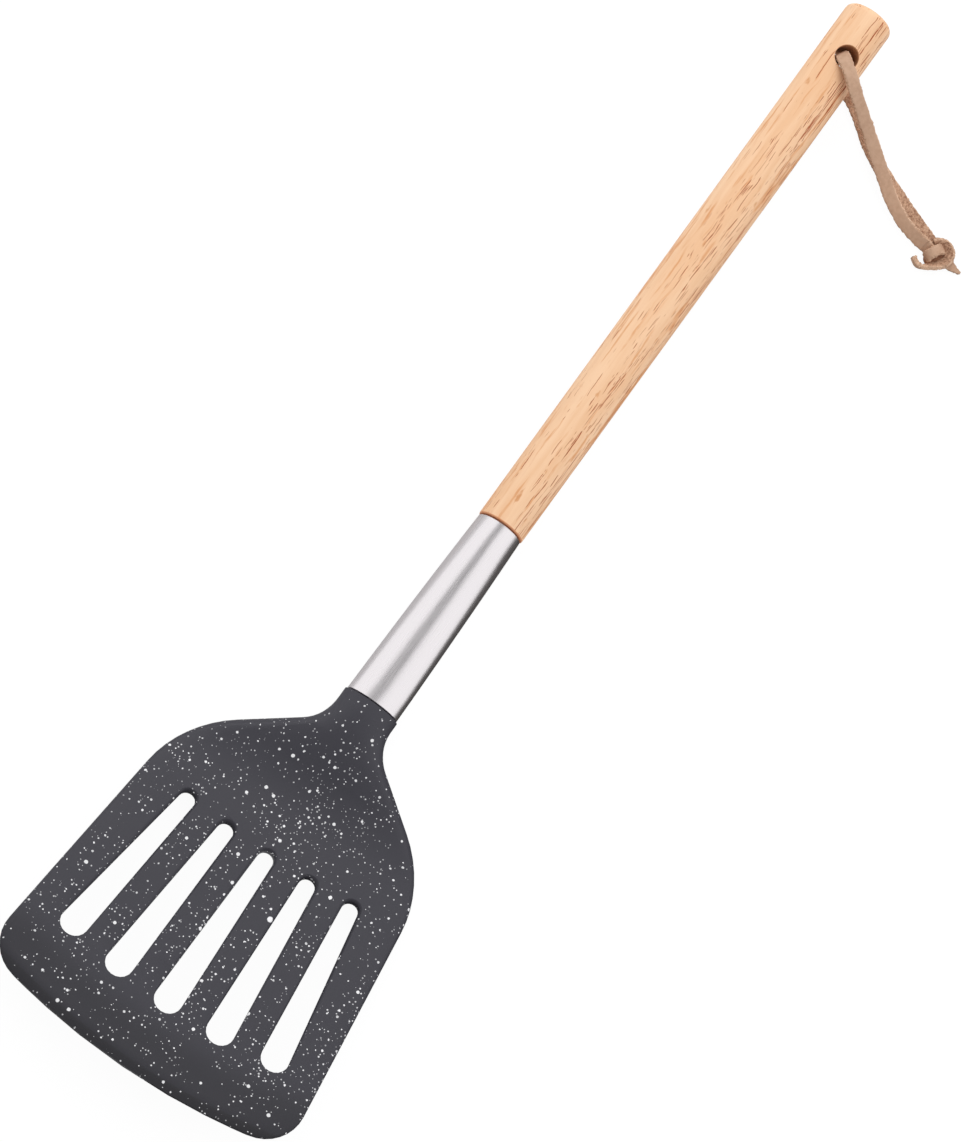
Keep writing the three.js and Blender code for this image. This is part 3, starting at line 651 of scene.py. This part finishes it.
def smooth_faces():
    tree = bpy.data.node_groups.new("smooth_faces", "GeometryNodeTree")
    tree.interface.new_socket("Geometry", in_out="INPUT", socket_type="NodeSocketGeometry")
    tree.interface.new_socket("Geometry", in_out="OUTPUT", socket_type="NodeSocketGeometry")
    start = tree.nodes.new("NodeGroupInput")
    end = tree.nodes.new("NodeGroupOutput")
    weld = tree.nodes.new("GeometryNodeMergeByDistance")
    weld.inputs["Distance"].default_value = WELD_DISTANCE
    bare = tree.nodes.new("GeometryNodeRemoveAttribute")
    bare.inputs["Name"].default_value = "custom_normal"
    faces = tree.nodes.new("GeometryNodeSetShadeSmooth")
    edges = tree.nodes.new("GeometryNodeSetShadeSmooth")
    edges.domain = "EDGE"
    edges.inputs["Shade Smooth"].default_value = False
    angle = tree.nodes.new("GeometryNodeInputMeshEdgeAngle")
    sharp = tree.nodes.new("FunctionNodeCompare")
    sharp.operation = "GREATER_THAN"
    sharp.inputs[1].default_value = SHARP_ANGLE
    tree.links.new(angle.outputs["Unsigned Angle"], sharp.inputs[0])
    tree.links.new(sharp.outputs[0], edges.inputs["Selection"])
    chain = [start, weld, bare, faces, edges, end]
    for before, after in zip(chain, chain[1:]):
        tree.links.new(before.outputs[0], after.inputs[0])
    return tree


smoothing = smooth_faces()
for name, material in (
    ("silicone_head", silicone()),
    ("head_core", core_plastic()),
    ("ferrule", steel()),
    ("grip", wood()),
):
    node = nodes[name]
    node.data.materials[0] = material
    node.modifiers.new("smooth_faces", "NODES").node_group = smoothing
    weighted = node.modifiers.new("face_weights", "WEIGHTED_NORMAL")
    weighted.keep_sharp = True
    weighted.weight = 100


# Floor and lights, in metres

FLOOR_REACH = 6.0
FLOOR_PAINT = (0.86, 0.86, 0.87, 1.0)
WHITE = (1.0, 1.0, 1.0, 1.0)
FLOOR_GLOW = 1.05
GLOW_SHARE = 0.9  # the rest is paint, which keeps the shadows
CARD_HEIGHT = 0.0002
# painted shade: cards seen only in reflections, in place of the shadowed floor beside the turner
CARDS = (  # name, low and high corner, colour
    ("dark_shade_card", (-0.3, -0.25), (0.35, -0.007), (0.1, 0.095, 0.09, 1.0)),
    ("grey_shade_card", (-0.3, 0.007), (0.35, 0.12), (0.72, 0.71, 0.71, 1.0)),
)
SOFTBOXES = (  # name, middle, what it faces, width, height, radiance
    ("left_softbox", (0.6, 1.37, 1.08), (0.6, 0.0, 0.0), 2.2, 2.25, 0.85),
    ("right_softbox", (0.6, -1.233, 1.17), (0.6, 0.0, 0.0), 2.2, 2.7, 0.86),
    ("end_softbox", (1.4, 0.4, 1.221), (0.0, 0.0, 0.0), 1.3, 1.15, 2.4),
)
WORLD_LEVEL = 0.43


def stage_plane(name, low, high, height):
    data = bpy.data.meshes.new(name)
    outline = (low, (high[0], low[1]), high, (low[0], high[1]))
    corners = [(x, y, height) for x, y in outline]
    data.from_pydata(corners, [], [(0, 1, 2, 3)])
    plane = bpy.data.objects.new(name, data)
    bpy.context.scene.collection.objects.link(plane)
    material = bpy.data.materials.new(name)
    material.use_nodes = True
    data.materials.append(material)
    return plane, material.node_tree


def white_floor():
    """White as the camera and metal see it, with what is left of the shadows."""
    corner = (FLOOR_REACH, FLOOR_REACH)
    tree = stage_plane("floor", (-FLOOR_REACH, -FLOOR_REACH), corner, 0.0)[1]
    tree.nodes.clear()
    output = tree.nodes.new("ShaderNodeOutputMaterial")
    paint = tree.nodes.new("ShaderNodeBsdfDiffuse")
    paint.inputs["Color"].default_value = FLOOR_PAINT
    glow = tree.nodes.new("ShaderNodeEmission")
    glow.inputs["Color"].default_value = WHITE
    glow.inputs["Strength"].default_value = FLOOR_GLOW
    ray = tree.nodes.new("ShaderNodeLightPath")
    seen = ray.outputs["Is Camera Ray"]
    for other in ("Is Glossy Ray", "Is Transmission Ray"):
        either = tree.nodes.new("ShaderNodeMath")
        either.operation = "MAXIMUM"
        tree.links.new(seen, either.inputs[0])
        tree.links.new(ray.outputs[other], either.inputs[1])
        seen = either.outputs[0]
    share = tree.nodes.new("ShaderNodeMath")
    share.operation = "MULTIPLY"
    share.inputs[1].default_value = GLOW_SHARE
    blend = tree.nodes.new("ShaderNodeMixShader")
    tree.links.new(seen, share.inputs[0])
    tree.links.new(share.outputs[0], blend.inputs[0])
    tree.links.new(paint.outputs[0], blend.inputs[1])
    tree.links.new(glow.outputs[0], blend.inputs[2])
    tree.links.new(blend.outputs[0], output.inputs["Surface"])


def shade_card(name, low, high, colour):
    """Lies beside the turner and shows only in what shines: painted shade in reflections, standing in for
    the shadowed floor.
    """
    card, tree = stage_plane(name, low, high, CARD_HEIGHT)
    paint = tree.nodes["Principled BSDF"]
    paint.inputs["Base Color"].default_value = colour
    paint.inputs["Roughness"].default_value = 1.0
    paint.inputs["Specular IOR Level"].default_value = 0.0
    card.visible_camera = False
    card.visible_diffuse = False
    card.visible_shadow = False
    card.visible_transmission = False


def softbox(name, middle, facing, width, height, radiance):
    data = bpy.data.lights.new(name, "AREA")
    data.shape = "RECTANGLE"
    data.size = width
    data.size_y = height
    data.energy = radiance * math.pi * width * height
    lamp = bpy.data.objects.new(name, data)
    lamp.matrix_world = Matrix.Translation(middle) @ (
        (Vector(facing) - Vector(middle)).to_track_quat("-Z", "Y").to_matrix().to_4x4()
    )
    bpy.context.scene.collection.objects.link(lamp)


white_floor()
for card in CARDS:
    shade_card(*card)
for lamp in SOFTBOXES:
    softbox(*lamp)

world = bpy.data.worlds.new("studio")
bpy.context.scene.world = world
world.use_nodes = True
sky = world.node_tree.nodes["Background"]
sky.inputs["Color"].default_value = WHITE
sky.inputs["Strength"].default_value = WORLD_LEVEL

bpy.context.scene.view_settings.view_transform = "Standard"
